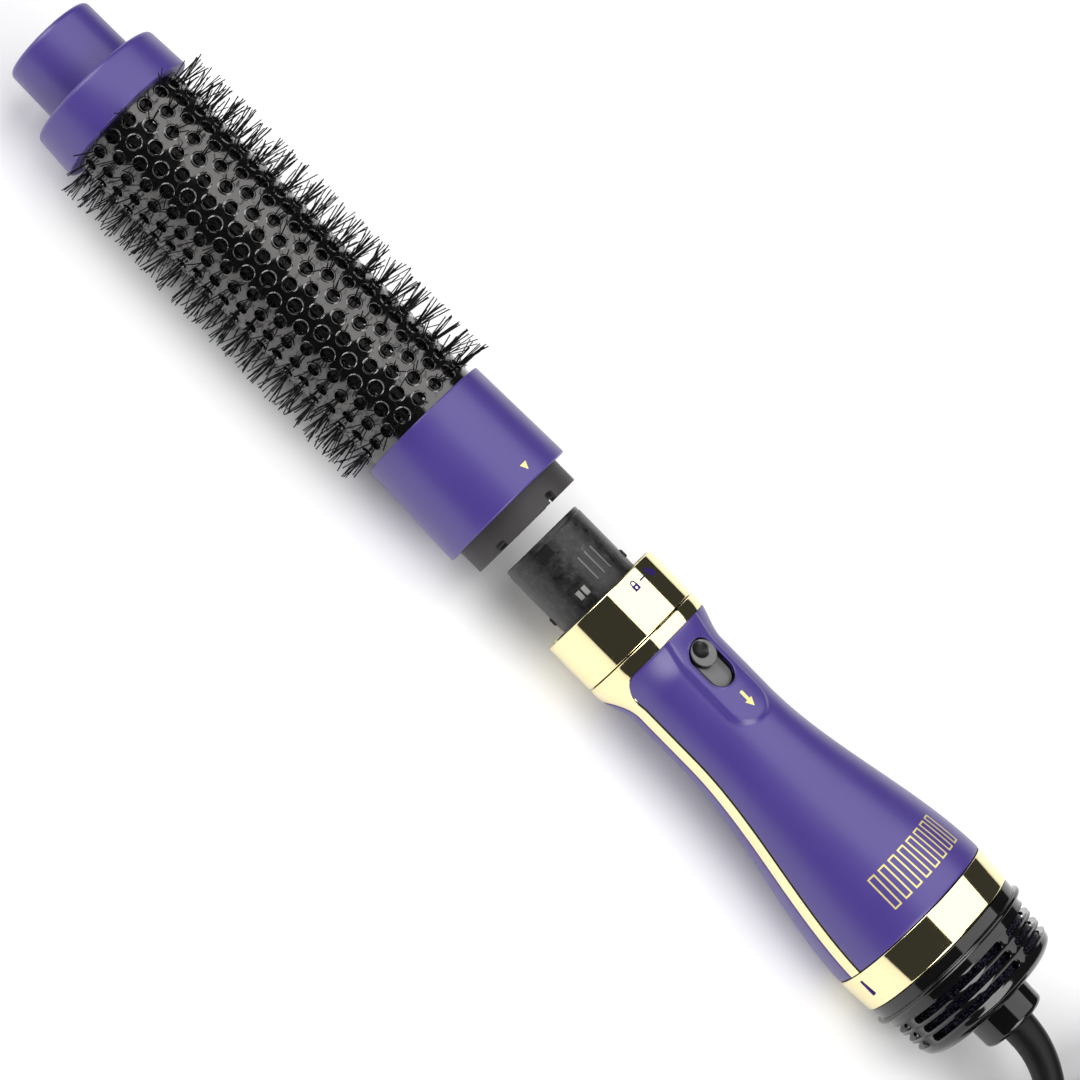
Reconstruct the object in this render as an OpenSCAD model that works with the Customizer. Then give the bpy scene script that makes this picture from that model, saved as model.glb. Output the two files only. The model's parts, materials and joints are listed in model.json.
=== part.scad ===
/* [Head] */
// Length of the head from its tip to the end of its black skirt
head_l = 197.1; // [197.1:0.1:197.1]
// Radius of the cool tip
tip_r = 15.1; // [14:0.1:16]
// Radius of the tip collar at its open edge
tip_collar_r = 23.1; // [22:0.1:24]
// Outer radius of the perforated barrel tube
barrel_r = 19.05; // [18.6:0.05:19.05]
// Number of bristle rows round the barrel
bristle_rows = 36; // [24:4:36]
// Distance from hole to hole along a bristle row
bristle_pitch = 10.85; // [9:0.05:12]
// Radius of the holes in the barrel tube
hole_r = 1.9; // [1.4:0.1:1.9]
// Radius at the bristle tips
bristle_tip_r = 28.4; // [26:0.1:28.4]

/* [Connection] */
// Outer radius of the nozzle that the head slides over
nozzle_r = 14; // [13.9:0.05:14]
// Radius of the head's socket for the nozzle
socket_r = 14.25; // [14.2:0.05:14.4]
// How far the head slides on from its detached place
head_travel = 37.2; // [20:0.1:37.2]
// Outer radius of the lock ring
ring_r = 20.4; // [20.3:0.1:21]
// Travel of the release slider towards the base
release_travel = 6.5; // [4:0.1:6.5]

/* [Handle] */
// Radius of the handle at its waist
waist_r = 17.3; // [17:0.1:17.5]
// Radius of the handle where it meets the selector ring
base_r = 28; // [27.8:0.1:28.4]
// Wall of the handle shells
shell_wall = 1.6; // [1.4:0.1:1.8]
// Half of the width of the bright side strips
strip_half = 2.7; // [2.2:0.1:3.2]

/* [Cord] */
// Diameter of the mains cord
cord_d = 7; // [6.5:0.1:7]
// Radius of the middle turns of the stored coil
coil_r = 39.2; // [39:0.1:42]

/* [Hidden] */
$fn = 96;

// Stations along the axis, measured from the tip
tip_cap_end = 18.8;
barrel_start = 33;
first_hole = 36;
barrel_end = 154.1;
barrel_tube_end = 158;
skirt_start = 162.1;
collar_end = 189.1;
nozzle_start = 202.5;
ring_start = 226.6;
ring_end = 243.4;
shroud_start = 243.7;
shell_start = 248.3;
shell_end = 353.6;
selector_start = 353.9;
selector_end = 365.4;
tail_start = 365.6;
flange_start = 369.4;
grille_start = 370.8;
grille_end = 389;
gland_start = 389.3;
gland_end = 397.8;
origin_s = gland_end / 2;
axis_z = bristle_tip_r;

// Where the handle's neck and its bell begin, and how long they are
neck_start = 246;
neck_l = 13;
bell_start = 278.5;
bell_l = 77.5;

// Radii and walls that the parts share
skirt_r = 19;
skirt_wall = 1.4;
sleeve_r = 15.6;
ring_bore_r = 19.35;
nozzle_bore_r = 12.8;
nozzle_free_end = 220;
nozzle_end = 262;
nozzle_root_r = 13.75;
hub_r = 24.94;
selector_bore_r = 25;
tail_r = 26.9;
grille_r = 25.6;
grille_wall = 1.6;
gland_r = 10.7;
barrel_wall = 0.7;
row_arc = 360 / bristle_rows;
row_start = 4;
shell_corner_r = 9.5;
slot_s = 261.6;
slot_l = 17;
slot_w = 10.4;
pad_end = 282.9;
pad_half = 7.4;
pad_rise = 1.1;
mark_s = 230.6;
mark_angle = 5;
knob_s = 258;
knob_r = 4.2;
knob_top = 19.1;
tail_end = 269.6;
tail_half = 3.9;
tail_top = 16.9;
plate_x = 15;
plate_t = 0.9;
plate_start = 251;
plate_l = 24.5;
latch_angle = 0;
lug_angle = 63;
lug_turn = 25;
key_angles = [-56, 124];
pointer_angle = 3;
grille_slots = [375.1, 378.7, 382.3];
grille_slot_w = 2.3;
shell_screw_s = [268, 325];

// The coil lies on the floor behind the handle
coil_s = 475;
coil_y = 2;
coil_half = 1.5 * cord_d;
plug_at = [coil_s - 7.8, coil_y - 28.6, 2 * coil_half + 7.1];
plug_heading = -10;

// Centre line of the cord from the gland to the coil: distance from the tip, side, height
ROUTE = [
    [391, 0, 28.4], [395, 0, 28.4], [399.5, 0, 28.4], [404.2, -0.4, 28.3], [408.8, -1.5, 28],
    [413.1, -3.3, 27.5], [417.1, -5.7, 26.8], [420.3, -8.4, 25.9], [424, -12.3, 24.5],
    [427.9, -16.5, 22.9], [431.5, -20.4, 21.2], [435, -24.2, 19.7], [438.6, -27.9, 18.5],
    [442.2, -31.3, 17.6], [446.2, -34.5, 17.1], [450.6, -37.2, 16.9], [454.1, -39.1, 16.9]
];
relief_points = 7;

// ---- Helpers ----

// Stands the axis of the tool along +X, with local +X up
module along() {
    translate([-origin_s, 0, axis_z]) rotate([0, 90, 0]) rotate([0, 0, 180]) children();
}

module tube(from, to, outer, inner) {
    translate([0, 0, from]) difference() {
        cylinder(h = to - from, r = outer);
        translate([0, 0, -1]) cylinder(h = to - from + 2, r = inner);
    }
}

module disc(from, to, r) {
    translate([0, 0, from]) cylinder(h = to - from, r = r);
}

// A solid of revolution from [radius, station] points
module lathe(points) {
    rotate_extrude() polygon(points);
}

// A box centred on the angle, standing out from the axis
module radial_box(angle, from, to, inner, outer, width) {
    rotate([0, 0, angle]) translate([inner, -width / 2, from]) cube([outer - inner, width, to - from]);
}

// Extrudes a [station, height] outline across the handle
module side_prism(width) {
    rotate(a = 240, v = [1, 1, 1]) linear_extrude(height = width, center = true) children();
}

function smooth(t) = let (u = min(1, max(0, t))) u * u * (3 - 2 * u);

function handle_r(s) = waist_r
    + (ring_r - waist_r) * (1 - smooth((s - neck_start) / neck_l))
    + (base_r - 0.2 - waist_r) * smooth((s - bell_start) / bell_l);

function handle_stations() = concat(
    [shroud_start], [for (s = [247:2.4:259]) s], [for (s = [278:8:350]) s], [shell_end]);

// The wall between the handle's outside, raised by rise, and its inside
module handle_wall(rise, wall) {
    stations = handle_stations();
    last = len(stations) - 1;
    lathe(concat(
        [for (s = stations) [handle_r(s) + rise, s]],
        [for (i = [last:-1:0]) [handle_r(stations[i]) - wall, stations[i]]]));
}

// ---- Head ----

module tip_cap() {
    color("slateblue") along() lathe([
        [0, 0], [tip_r - 2.6, 0], [tip_r - 1.2, 0.4], [tip_r - 0.4, 1.2], [tip_r, 2.6],
        [tip_r + 0.3, tip_cap_end], [17.3, tip_cap_end + 0.2], [17.3, 24.4],
        [tip_r - 2, 24.4], [tip_r - 2, 2.4], [3.4, 2.4], [3.4, 12],
        [1.6, 12], [1.6, 2], [0, 2]]);
}

module tip_screw() {
    color("silver") along() {
        disc(12.2, 14, 3);
        disc(2.2, 33, 1.5);
    }
}

module tip_collar() {
    color("slateblue") along() lathe([
        [15.6, tip_cap_end], [tip_collar_r - 2.1, tip_cap_end], [tip_collar_r - 1.3, tip_cap_end + 0.3],
        [tip_collar_r - 0.8, tip_cap_end + 1.1], [tip_collar_r, barrel_start],
        [barrel_r + 0.1, barrel_start], [barrel_r + 0.1, 30], [17.5, 30], [17.5, tip_cap_end + 0.1]]);
}

module barrel_end_plug() {
    color("dimgray") along() difference() {
        union() {
            disc(24.6, 26.4, 17.3);
            tube(26.4, 33.2, 17.3, 15.8);
            disc(26.4, 33, 4);
        }
        disc(24, 34, 1.55);
    }
}

function row_angle(row) = row_start + row * row_arc;
function row_shift(row) = ((row + 1) % 2) * bristle_pitch / 2;
function row_holes(row) = [for (s = [first_hole + row_shift(row):bristle_pitch:151]) s];

module barrel_tube() {
    color("gray") along() difference() {
        tube(30.2, barrel_tube_end, barrel_r, barrel_r - barrel_wall);
        for (row = [0:bristle_rows - 1])
            for (s = row_holes(row))
                rotate([0, 0, row_angle(row)]) translate([barrel_r - 2, 0, s]) rotate([0, 90, 0])
                    cylinder(h = 3, r = hole_r, $fn = 24);
    }
}

// Each strip is a carrier bar inside the tube with one tuft in every hole
module bristle_strip(row) {
    rotate([0, 0, row_angle(row)]) {
        translate([16.5, -1, 33.6]) cube([1.5, 2, 119.9]);
        for (s = row_holes(row))
            translate([17, 0, s]) rotate([0, 90, 0]) cylinder(h = bristle_tip_r - 17, r = 0.8, $fn = 16);
    }
}

module bristle_strips() {
    color("black") along() for (row = [0:bristle_rows - 1]) bristle_strip(row);
}

module air_core() {
    color("dimgray") along() {
        disc(40, 150, 2.5);
        for (s = [44, 94, 144]) {
            tube(s, s + 3, 16.3, 14.8);
            for (angle = [0:60:120])
                rotate([0, 0, angle]) translate([-15, -0.8, s]) cube([30, 1.6, 3]);
        }
    }
}

// The three screws that hold the skirt in the lower collar
module at_collar_screws() {
    for (angle = [30:120:270])
        rotate([0, 0, angle]) translate([16.6, 0, 0]) children();
}

module lower_collar() {
    color("slateblue") along() difference() {
        lathe([
            [barrel_r + 0.1, barrel_end], [21.2, barrel_end], [21.5, barrel_end + 0.4],
            [22.4, collar_end - 1], [22.5, collar_end - 0.4], [22.1, collar_end], [skirt_r + 0.05, collar_end],
            [skirt_r + 0.05, skirt_start - 0.1], [15, skirt_start - 0.1], [15, barrel_tube_end + 0.2],
            [barrel_r + 0.1, barrel_tube_end + 0.2]]);
        at_collar_screws() translate([0, 0, 158.8]) cylinder(h = 4, r = 0.82, $fn = 24);
        pointer_shape();
    }
}

module head_skirt() {
    groove = head_l - 2.2;
    color("dimgray") along() difference() {
        union() {
            tube(skirt_start, head_l, skirt_r, skirt_r - skirt_wall);
            tube(skirt_start, head_l - 1.1, sleeve_r, socket_r);
            tube(skirt_start, skirt_start + 2.9, skirt_r - 0.5, socket_r);
        }
        // Square hole at the edge for the latch tooth
        radial_box(latch_angle, head_l - 2.9, head_l + 1, 17, 20, 2.9);
        // Bayonet slots and their grooves
        for (half = [0, 180]) {
            radial_box(lug_angle + half, groove, head_l + 1, 17, 20, 3.5);
            rotate([0, 0, lug_angle + half - 5]) translate([0, 0, groove])
                rotate_extrude(angle = lug_turn + 10) translate([18.1, 0]) square([2, 1.1]);
        }
        // Keyways for the nozzle's lugs
        for (angle = key_angles) radial_box(angle, 182.5, head_l, 13, 14.95, 4);
        at_collar_screws() translate([0, 0, skirt_start - 1.1]) cylinder(h = 5, r = 0.85, $fn = 24);
    }
}

module collar_screws() {
    color("silver") along() at_collar_screws() {
        translate([0, 0, 159]) cylinder(h = 6.2, r = 0.78, $fn = 24);
        translate([0, 0, 165.1]) cylinder(h = 1.1, r = 0.95, $fn = 24);
    }
}

// Inlaid triangle that points at the handle, and its pocket
module pointer_shape() {
    intersection() {
        tube(181, 188, 22.42, 22.1);
        rotate([0, 0, pointer_angle]) translate([18, 0, 184.6]) rotate([0, 90, 0]) linear_extrude(height = 8)
            polygon([[1.1, 1.3], [1.1, -1.3], [-1.3, 0]]);
    }
}

module pointer_mark() {
    color("gold") along() pointer_shape();
}

// ---- Nozzle and heater ----

module nozzle() {
    color("darkslategray") along() difference() {
        union() {
            tube(nozzle_start, nozzle_free_end, nozzle_r, nozzle_bore_r);
            tube(nozzle_free_end, nozzle_end, nozzle_root_r, nozzle_bore_r);
            tube(239.4, 243, 19.29, 13.5);
            for (angle = key_angles) radial_box(angle, 220.6, 223.4, 13.2, 14.55, 3);
        }
        radial_box(latch_angle, 239, 243.5, 14.2, 20, 5.4);
    }
}

module nozzle_grille() {
    color("black") along() {
        tube(204, 206, 12.7, 11.5);
        tube(204, 206, 6.5, 5.5);
        for (angle = [0:60:120])
            rotate([0, 0, angle]) translate([-12, -0.5, 204]) cube([24, 1, 2]);
    }
}

module heat_sleeve() {
    color("wheat") along() tube(207, 258, 12.5, 12.1);
}

module heater_frame() {
    color("tan") along() {
        translate([-11.6, -0.4, 208]) cube([23.2, 0.8, 49]);
        translate([-0.4, -11.6, 208]) cube([0.8, 23.2, 49]);
    }
}

module heater_coil() {
    color("silver") along() for (s = [212:4:248])
        translate([0, 0, s]) rotate_extrude() translate([10.6, 0]) circle(r = 0.5, $fn = 16);
}

module thermostat() {
    color("silver") along() {
        translate([4.5, 4.5, 250]) cylinder(h = 4, r = 3, $fn = 32);
        translate([4.5, 4.5, 254]) cylinder(h = 2, r = 2, $fn = 32);
    }
}

module thermal_fuse() {
    color("silver") along() translate([-4.5, -4.5, 228]) cylinder(h = 11, r = 1.6, $fn = 24);
}

// ---- Lock ring ----

module lock_ring() {
    color("gold") along() {
        difference() {
            lathe([
                [ring_bore_r, ring_start], [ring_r - 0.5, ring_start], [ring_r - 0.15, ring_start + 0.3],
                [ring_r, ring_start + 1], [ring_r, ring_end - 0.4], [ring_r - 0.4, ring_end],
                [ring_bore_r, ring_end]]);
            lock_mark_shapes();
        }
        for (half = [0, 180])
            radial_box(lug_angle + half, 232.25, 233.05, 18.35, ring_bore_r + 0.3, 2.4);
    }
}

// Generic closed and open padlocks with a line between them, inlaid in the ring
module padlock(shift) {
    difference() {
        translate([-1.35, -0.88]) square([1.55, 1.76]);
        translate([-0.6, 0]) circle(r = 0.34, $fn = 24);
    }
    difference() {
        union() {
            translate([0.65, shift]) circle(r = 0.74, $fn = 32);
            translate([0.1, shift - 0.74]) square([0.55, 1.48]);
        }
        translate([0.65, shift]) circle(r = 0.42, $fn = 32);
        translate([0.2, shift - 0.42]) square([0.45, 0.84]);
    }
}

module lock_mark_shapes() {
    intersection() {
        tube(ring_start + 1.5, ring_start + 8, ring_r + 0.04, ring_r - 0.1);
        union() {
            for (place = [[mark_angle, 0], [mark_angle - 23, 1]])
                rotate([0, 0, place[0]]) translate([18, 0, mark_s]) rotate([0, 90, 0])
                    linear_extrude(height = 4) scale(1.22) padlock(place[1]);
            radial_box(mark_angle - 10.5, mark_s - 0.25, mark_s + 0.25, 18, 22, 2.7);
        }
    }
}

module lock_marks() {
    color("navy") along() lock_mark_shapes();
}

// ---- Handle shells ----

// Side view of one shell: a long window with a big rounded corner at the neck
module shell_outline(gap) {
    l = shell_end - shell_start + 1;
    translate([shell_start + gap, strip_half + gap]) difference() {
        square([l, 40]);
        difference() {
            translate([-1, -1]) square([shell_corner_r + 1, shell_corner_r + 1]);
            translate([shell_corner_r, shell_corner_r]) circle(r = shell_corner_r);
        }
    }
}

module trim_frame() {
    color("gold") along() difference() {
        handle_wall(0.05, shell_wall);
        side_prism(80) shell_outline(0);
        mirror([1, 0, 0]) side_prism(80) shell_outline(0);
        radial_box(latch_angle, 243, 249, 13, 18.6, 5.4);
    }
}

// Plan of a slot with round ends, [station, side]
module stadium(from, to, half) {
    translate([0, -half, from + half]) cube([10, 2 * half, to - from - 2 * half]);
    for (s = [from + half, to - half])
        translate([0, 0, s]) rotate([0, 90, 0]) cylinder(h = 10, r = half);
}

module front_shell() {
    color("slateblue") along() difference() {
        union() {
            intersection() {
                handle_wall(0, shell_wall);
                side_prism(80) shell_outline(0.08);
            }
            intersection() {
                handle_wall(pad_rise, shell_wall);
                translate([12, 0, 0]) stadium(shell_start + 0.3, pad_end, pad_half);
            }
        }
        // Pockets for the slider's plate and tail, and the window over them
        translate([10, -5.9, 249.5]) cube([6, 11.8, 33.8]);
        translate([10, -4.2, slot_s]) cube([tail_top - 9.8, 8.4, tail_end + release_travel + 1 - slot_s]);
        translate([12, 0, 0]) stadium(slot_s - slot_l / 2, slot_s + slot_l / 2, slot_w / 2);
        arrow_shape();
    }
}

module rear_shell() {
    color("slateblue") along() difference() {
        intersection() {
            handle_wall(0, shell_wall);
            mirror([1, 0, 0]) side_prism(80) shell_outline(0.08);
        }
        for (s = shell_screw_s)
            translate([-30, 0, s]) rotate([0, 90, 0]) cylinder(h = 20, r = 1.6, $fn = 32);
    }
}

module shell_screws() {
    color("silver") along() for (s = shell_screw_s)
        translate([-handle_r(s) + 0.9, 0, s]) rotate([0, 90, 0]) {
            cylinder(h = 2.4, r = 1.5, $fn = 32);
            cylinder(h = 6, r = 0.9, $fn = 32);
        }
}

// Inlaid arrow on the raised pad that points at the base, and its pocket
module arrow_shape() {
    intersection() {
        handle_wall(pad_rise + 0.08, pad_rise + 0.28);
        translate([12, 0, 276]) rotate([0, 90, 0]) linear_extrude(height = 9) union() {
            translate([-0.3, -0.55]) square([3.2, 1.1]);
            polygon([[-0.3, 1.5], [-0.3, -1.5], [-2.8, 0]]);
        }
        tube(270, 281, 25, 17.9);
    }
}

module arrow_mark() {
    color("gold") along() arrow_shape();
}

// ---- Release ----

// Plate under the shell, a round-ended tail on it, and a knob with a thumb hollow
module release_slider() {
    plate_top = plate_x + plate_t - 0.01;
    tail_t = tail_top - plate_top;
    color("gray") along() {
        translate([plate_x, -5.6, plate_start]) cube([plate_t, 11.2, plate_l]);
        translate([plate_top, -tail_half, knob_s]) cube([tail_t, 2 * tail_half, tail_end - tail_half - knob_s]);
        translate([plate_top, 0, tail_end - tail_half]) rotate([0, 90, 0]) cylinder(h = tail_t, r = tail_half);
        difference() {
            translate([plate_top, 0, knob_s]) rotate([0, 90, 0]) cylinder(h = knob_top - plate_top, r = knob_r);
            translate([knob_top + 2.2, 0, knob_s - 1.3]) sphere(r = 3.6);
        }
    }
}

module latch_bar() {
    color("silver") along() {
        translate([plate_x + 0.1, -1.9, 234.9]) cube([0.7, 3.8, 16.1]);
        translate([plate_x + 0.1, -1.1, 234.9]) cube([3.6, 2.2, 1.4]);
        translate([17.9, -1.1, 232]) cube([0.8, 2.2, 3]);
    }
}

module release_spring() {
    color("silver") along() for (turn = [0:6])
        translate([13.2, 0, 277 + turn * 1.5]) rotate_extrude() translate([1.3, 0])
            circle(r = 0.25, $fn = 12);
}

module spring_stop() {
    color("dimgray") along() {
        translate([11.5, -4, 286.6]) cube([3, 8, 1.4]);
        translate([14.4, -4, 286.6]) cube([1.1, 8, 1.4]);
    }
}

// ---- Motor and fan ----

module motor_can() {
    color("silver") along() {
        tube(300, 301, 13, 2);
        tube(301, 330, 13, 12);
        tube(330, 331, 13, 2);
        tube(302, 304, 12, 3);
        tube(326, 328, 12, 3);
    }
}

module motor_mount() {
    color("dimgray") along() {
        tube(296, 299.8, 14.5, 9);
        tube(299.8, 312, 14.5, 13.1);
        for (angle = [45:90:315]) radial_box(angle, 300, 304, 14.2, handle_r(300) - shell_wall - 0.2, 2);
    }
}

module fan_shaft() {
    color("silver") along() disc(298, 348, 1.95);
}

module fan_impeller() {
    color("lightgray") along() difference() {
        union() {
            disc(336, 348, 5);
            disc(336, 337.2, 12);
            for (angle = [0:40:320])
                rotate([0, 0, angle]) translate([4.5, -0.6, 336]) rotate([0, 0, 14]) cube([16.5, 1.2, 9.5]);
        }
        disc(335, 349, 1.95);
    }
}

module stator_vanes() {
    r = handle_r(332) - shell_wall - 0.05;
    color("dimgray") along() {
        tube(332.2, 349.3, r, r - 1.2);
        for (angle = [20:60:320]) radial_box(angle, 332.2, 334.6, 13.5, r - 0.9, 1.2);
        tube(332.2, 334.6, 14.4, 12.5);
    }
}

module speed_switch() {
    color("darkgreen") along() {
        tube(356, 357.6, 22.6, 14);
        for (angle = [90, 270]) radial_box(angle, 357.6, 363, 15, 21.5, 8);
    }
}

module inner_leads() {
    color("firebrick") along() for (side = [-3, 3])
        translate([0, side, 368]) cylinder(h = 18, r = 1.1, $fn = 24);
}

// ---- Selector, tail and swivel ----

module selector_ring() {
    color("gold") along() difference() {
        lathe([
            [selector_bore_r, selector_start], [base_r - 0.3, selector_start], [base_r, selector_start + 0.6],
            [base_r - 0.1, selector_end - 3], [base_r - 0.5, selector_end - 0.8], [base_r - 1, selector_end],
            [selector_bore_r, selector_end]]);
        index_shape();
    }
}

// Inlaid index line on the selector that meets the side strip, and its pocket
module index_shape() {
    intersection() {
        tube(selector_start + 2, selector_end - 4, base_r, base_r - 0.25);
        radial_box(90, selector_start + 2, selector_end - 4, 24, 30, 0.9);
    }
}

module selector_mark() {
    color("navy") along() index_shape();
}

module tail_hub() {
    color("black") along() lathe([
        [hub_r - 2, 349.5], [hub_r, 349.5], [hub_r, tail_start], [tail_r, tail_start],
        [tail_r - 0.2, flange_start], [27.7, flange_start + 0.1], [27.9, flange_start + 0.7],
        [27.6, grille_start], [hub_r - 2, grille_start]]);
}

module inlet_grille() {
    color("black") along() difference() {
        lathe([
            [grille_r, grille_start], [grille_r - 0.8, 384], [grille_r - 1.8, 386.4], [grille_r - 3.6, 388],
            [grille_r - 6.6, grille_end], [9, grille_end], [9, grille_end - 1.8],
            [grille_r - 7, grille_end - 1.8], [grille_r - 4.6, 386.4], [grille_r - 2.4, 384],
            [grille_r - grille_wall, grille_start]]);
        for (s = grille_slots)
            for (quarter = [0:90:270])
                translate([0, 0, s - grille_slot_w / 2]) rotate([0, 0, quarter + 4])
                    rotate_extrude(angle = 82) translate([21, 0]) square([6, grille_slot_w]);
    }
}

module filter_mesh() {
    color("darkslategray") along() tube(371, 384.5, 22.6, 21.9);
}

module swivel_gland() {
    color("black") along() difference() {
        union() {
            disc(gland_start, gland_end - 0.6, gland_r);
            disc(gland_end - 0.6, gland_end, gland_r - 0.6);
            disc(384.4, gland_start, 8.92);
        }
        disc(384, gland_end + 1, 6.3);
    }
}

module swivel_clip() {
    color("silver") along() tube(385.6, 386.6, 11, 8.95);
}

// ---- Cord ----

function sub(a, b) = [a[0] - b[0], a[1] - b[1], a[2] - b[2]];
function unit(v) = v / norm(v);
function route_dir(i) = unit(sub(ROUTE[min(i + 1, len(ROUTE) - 1)], ROUTE[max(i - 1, 0)]));

// A ring of points round one route point, in the plane across the route
function route_ring(i, r, sides) = let (
        d = route_dir(i),
        side = unit(cross([0, 0, 1], d)),
        up = cross(d, side))
    [for (k = [0:sides - 1]) ROUTE[i] + r * (cos(360 * k / sides) * side + sin(360 * k / sides) * up)];

module swept(first, last, r_first, r_last, sides) {
    count = last - first;
    points = [for (i = [first:last])
        each route_ring(i, r_first + (r_last - r_first) * (i - first) / count, sides)];
    walls = [for (i = [0:count - 1]) for (k = [0:sides - 1])
        [i * sides + k, (i + 1) * sides + k, (i + 1) * sides + (k + 1) % sides, i * sides + (k + 1) % sides]];
    near_cap = [for (k = [0:sides - 1]) k];
    far_cap = [for (k = [sides - 1:-1:0]) count * sides + k];
    translate([-origin_s, 0, 0]) polyhedron(points, concat(walls, [near_cap, far_cap]));
}

module strain_relief() {
    color("black") swept(0, relief_points, 5.8, 4.3, 12);
}

module mains_cord() {
    color("black") swept(relief_points, len(ROUTE) - 1, cord_d / 2, cord_d / 2, 10);
}

// The bundle of stored turns: three turns wide and three high
module cord_coil() {
    color("black") translate([coil_s - origin_s, coil_y, 0]) rotate_extrude() translate([coil_r, coil_half])
        polygon([for (corner = [[1, 1], [-1, 1], [-1, -1], [1, -1]]) for (turn = [0:30:90])
            let (start = corner == [1, 1] ? 0 : corner == [-1, 1] ? 90 : corner == [-1, -1] ? 180 : 270)
            (coil_half - 3) * corner + 3 * [cos(start + turn), sin(start + turn)]]);
}

module cord_tie() {
    color("dimgray") translate([coil_s - origin_s, coil_y, 0]) rotate([0, 0, 50]) difference() {
        translate([coil_r - coil_half - 1.6, -4, 0.01]) cube([2 * coil_half + 2.8, 8, 2 * coil_half + 1.2]);
        translate([coil_r - coil_half - 0.6, -5, -1]) cube([2 * coil_half + 0.8, 10, 2 * coil_half + 1.2]);
    }
}

module plug_place() {
    translate([plug_at[0] - origin_s, plug_at[1], plug_at[2]])
        rotate([0, 0, plug_heading]) rotate([0, 90, 0]) children();
}

module plug_body() {
    color("black") plug_place() {
        cylinder(h = 14, r1 = 4.2, r2 = 5.6, $fn = 32);
        translate([-7, -11, 14]) cube([14, 22, 22]);
    }
}

module plug_pins() {
    color("silver") plug_place() for (side = [-6.35, 6.35])
        translate([-3.2, side - 0.75, 36]) cube([6.4, 1.5, 16]);
}

tip_cap();
tip_screw();
tip_collar();
barrel_end_plug();
barrel_tube();
bristle_strips();
air_core();
lower_collar();
head_skirt();
collar_screws();
pointer_mark();
nozzle();
nozzle_grille();
heat_sleeve();
heater_frame();
heater_coil();
thermostat();
thermal_fuse();
lock_ring();
lock_marks();
trim_frame();
front_shell();
rear_shell();
shell_screws();
arrow_mark();
release_slider();
latch_bar();
release_spring();
spring_stop();
motor_can();
motor_mount();
fan_shaft();
fan_impeller();
stator_vanes();
speed_switch();
inner_leads();
selector_ring();
selector_mark();
tail_hub();
filter_mesh();
inlet_grille();
swivel_gland();
swivel_clip();
strain_relief();
mains_cord();
cord_coil();
cord_tie();
plug_body();
plug_pins();
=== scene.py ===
import json
import math
import random

import bmesh
import bpy
from mathutils import Matrix, Vector


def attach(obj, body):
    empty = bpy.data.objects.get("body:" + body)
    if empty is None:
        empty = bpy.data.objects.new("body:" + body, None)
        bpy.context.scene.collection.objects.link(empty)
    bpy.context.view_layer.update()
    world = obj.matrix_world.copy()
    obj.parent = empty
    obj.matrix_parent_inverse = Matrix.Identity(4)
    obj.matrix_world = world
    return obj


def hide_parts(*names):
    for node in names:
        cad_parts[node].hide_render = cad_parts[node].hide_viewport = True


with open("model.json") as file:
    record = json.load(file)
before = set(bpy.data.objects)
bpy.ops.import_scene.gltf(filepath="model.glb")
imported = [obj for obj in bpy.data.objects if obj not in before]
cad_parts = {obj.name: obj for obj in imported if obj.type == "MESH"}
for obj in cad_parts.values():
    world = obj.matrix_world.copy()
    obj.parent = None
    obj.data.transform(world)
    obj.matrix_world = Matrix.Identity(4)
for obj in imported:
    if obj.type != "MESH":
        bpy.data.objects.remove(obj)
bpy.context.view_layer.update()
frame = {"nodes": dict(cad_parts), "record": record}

MM = 0.001

# ---- Driving sizes, in millimetres, along the tool from its tip ----
GLAND_END = 397.8
ORIGIN_S = GLAND_END / 2
AXIS_Z = 28.4
TIP_R = 15.1
TIP_CAP_END = 18.8
TIP_COLLAR_R = 23.1
BARREL_START = 33.0
TUBE_START = 30.2
TUBE_END = 158.0
BARREL_END = 154.1
BARREL_R = 19.05
BARREL_WALL = 0.7
BARREL_ROWS = 36
HOLE_PITCH = 10.85
HOLE_FIRST = 36.0
ROW_START = math.radians(4)
COLLAR_END = 189.1
HEAD_L = 197.1
SKIRT_R = 19.0
SOCKET_R = 14.25
LATCH_ANGLE = 0.0
LUG_ANGLES = (math.radians(63), math.radians(243))
NOZZLE_START = 202.5
NOZZLE_R = 14.0
KEY_ANGLES = (math.radians(-56), math.radians(124))
RING_START = 226.6
RING_END = 243.4
RING_R = 20.4
SHROUD_START = 243.7
SHELL_START = 248.3
SHELL_END = 353.6
WAIST_R = 17.3
NECK_START = 246.0
NECK_L = 13.0
BELL_START = 278.5
BELL_L = 77.5
BASE_R = 28.0
SHELL_WALL = 1.6
STRIP_HALF = 2.7
CORNER_R = 9.5
SLOT_S = 261.6
SLOT_L = 17.0
SLOT_W = 10.4
PAD_END = 282.9
PAD_HALF = 7.4
PAD_RISE = 1.1
KNOB_S = 258.0
KNOB_R = 4.2
KNOB_TOP = 19.1
HOLLOW_S = -1.3
HOLLOW_R = 3.6
HOLLOW_RISE = 2.2
PLATE_START = 251.0
PLATE_L = 24.5
PLATE_TOP = 15.9
TAIL_END = 269.6
TAIL_HALF = 3.9
TAIL_TOP = 16.9
BAR_S = 341.2
BAR_L = 11.4
BAR_W = 2.7
BAR_LINE = 0.5
BAR_TURN = math.radians(8.9)
BAR_COUNT = 8
SELECTOR_START = 353.9
SELECTOR_END = 365.4
TAIL_START = 365.6
TAIL_R = 26.9
FLANGE_START = 369.4
GRILLE_START = 370.8
GRILLE_R = 25.6
GRILLE_END = 389.0
GRILLE_PITCH = 3.6
GRILLE_SLOTS = [375.1 + GRILLE_PITCH * i for i in range(3)]
GRILLE_SLOT_W = 2.3
GLAND_START = 389.3
SCREW_S = (268.0, 325.0)
GLAND_R = 10.7

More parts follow.
